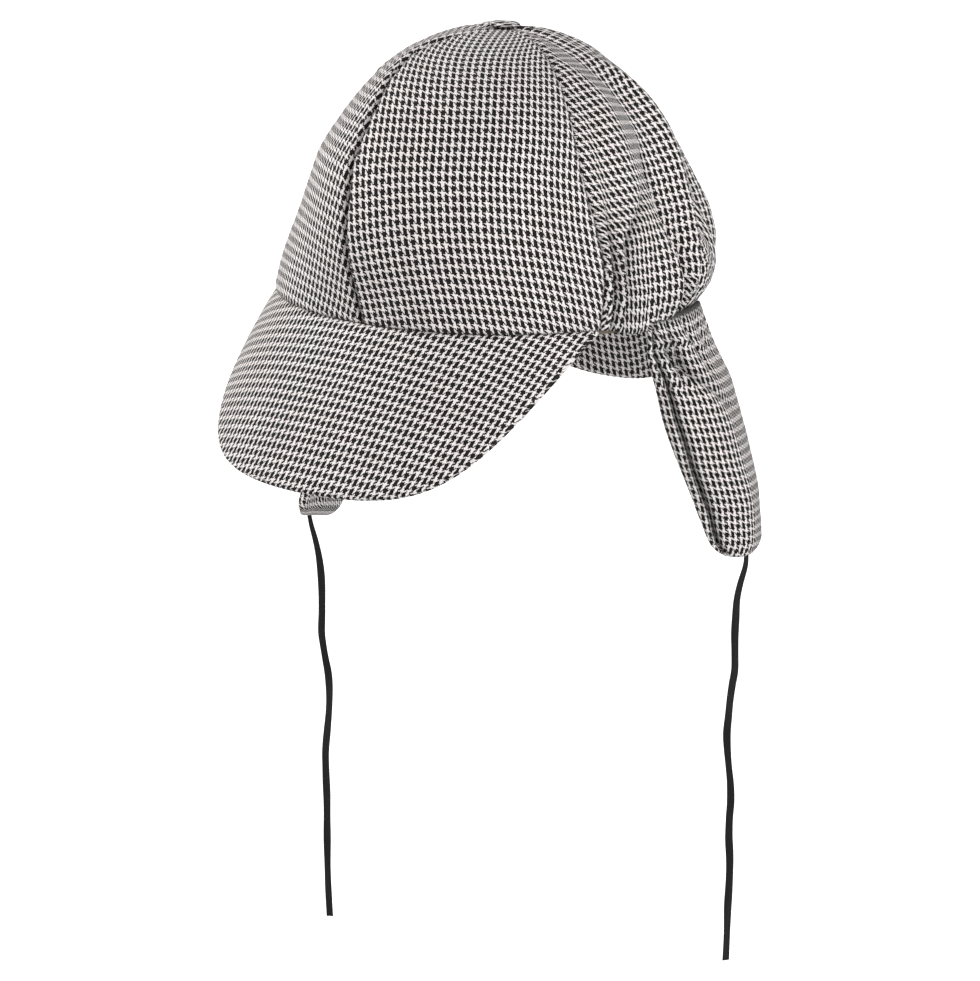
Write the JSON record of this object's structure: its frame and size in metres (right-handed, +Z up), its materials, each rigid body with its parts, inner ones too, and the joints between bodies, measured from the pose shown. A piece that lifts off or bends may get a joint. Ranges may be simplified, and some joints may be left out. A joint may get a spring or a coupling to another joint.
{
  "type": "deerstalker hat",
  "caption": "Check-cloth hat with a gathered crown made of panels, a peak in front and behind, and padded ear flaps hanging down, each ending in a ribbon tie.",
  "frame": {"origin": "middle of the head opening, level with the seam that joins the crown to the peaks; this is where a head holds the hat", "axes": "+Z up through the crown, -Y towards the front peak, so +X is the wearer's left; -Z points out of the opening towards the head"},
  "size_m": [0.2168, 0.2533, 0.4322],
  "materials": {
    "check_cloth": "brushed woven cloth with a small black and cream houndstooth check",
    "band_cloth": "plain taupe woven band",
    "ribbon": "black satin ribbon"
  },
  "bodies": {
    "root": {"crown_panel_front_left": "check_cloth", "crown_panel_side_left": "check_cloth", "crown_panel_back_left": "check_cloth", "crown_panel_front_right": "check_cloth", "crown_panel_side_right": "check_cloth", "crown_panel_back_right": "check_cloth", "top_button": "check_cloth", "front_peak": "check_cloth", "back_peak": "check_cloth", "ear_flap_left": "check_cloth", "ear_flap_right": "check_cloth", "sweatband": "band_cloth", "tie_left": "ribbon", "tie_right": "ribbon"}
  },
  "joints": []
}
